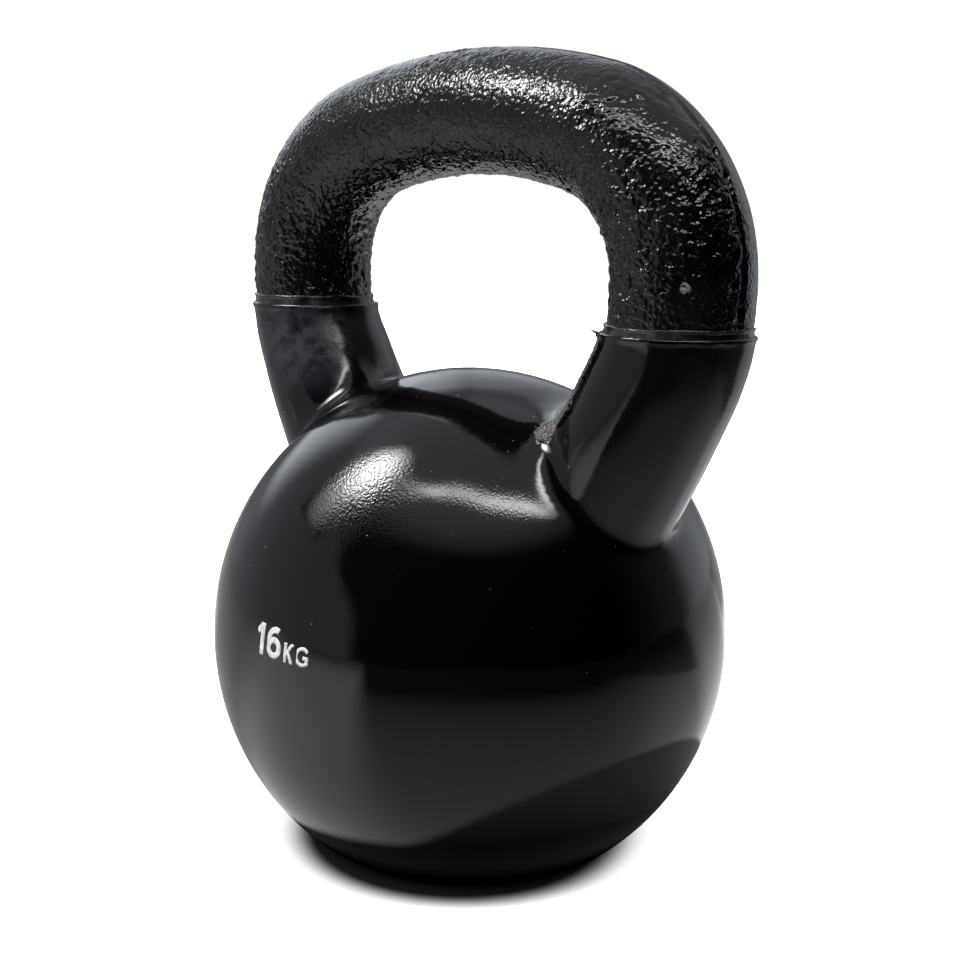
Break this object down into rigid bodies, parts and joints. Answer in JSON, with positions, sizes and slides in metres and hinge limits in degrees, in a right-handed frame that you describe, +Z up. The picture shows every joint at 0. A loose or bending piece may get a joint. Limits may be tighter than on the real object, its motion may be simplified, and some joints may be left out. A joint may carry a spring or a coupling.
{
  "type": "kettlebell",
  "caption": "Cast-iron kettlebell with a wide rough-cast handle, a flat base, and a smooth glossy vinyl coat over the ball and horns.",
  "frame": {"origin": "centre of the flat base, on the surface the kettlebell stands on", "axes": "+Z up from the base to the top of the handle, +X along the handle's grip, -Y towards the side with the printed weight figure"},
  "size_m": [0.1886, 0.1576, 0.2355],
  "materials": {
    "painted_iron": "gloss black paint over a rough sand-cast surface",
    "black_vinyl": "smooth glossy dipped vinyl",
    "vinyl_film": "thin trimmed vinyl film",
    "white_ink": "printed white ink"
  },
  "bodies": {
    "root": {"iron_casting": "painted_iron", "vinyl_coating": "black_vinyl", "left_edge_film": "vinyl_film", "right_edge_film": "vinyl_film", "weight_mark": "white_ink"}
  },
  "joints": []
}
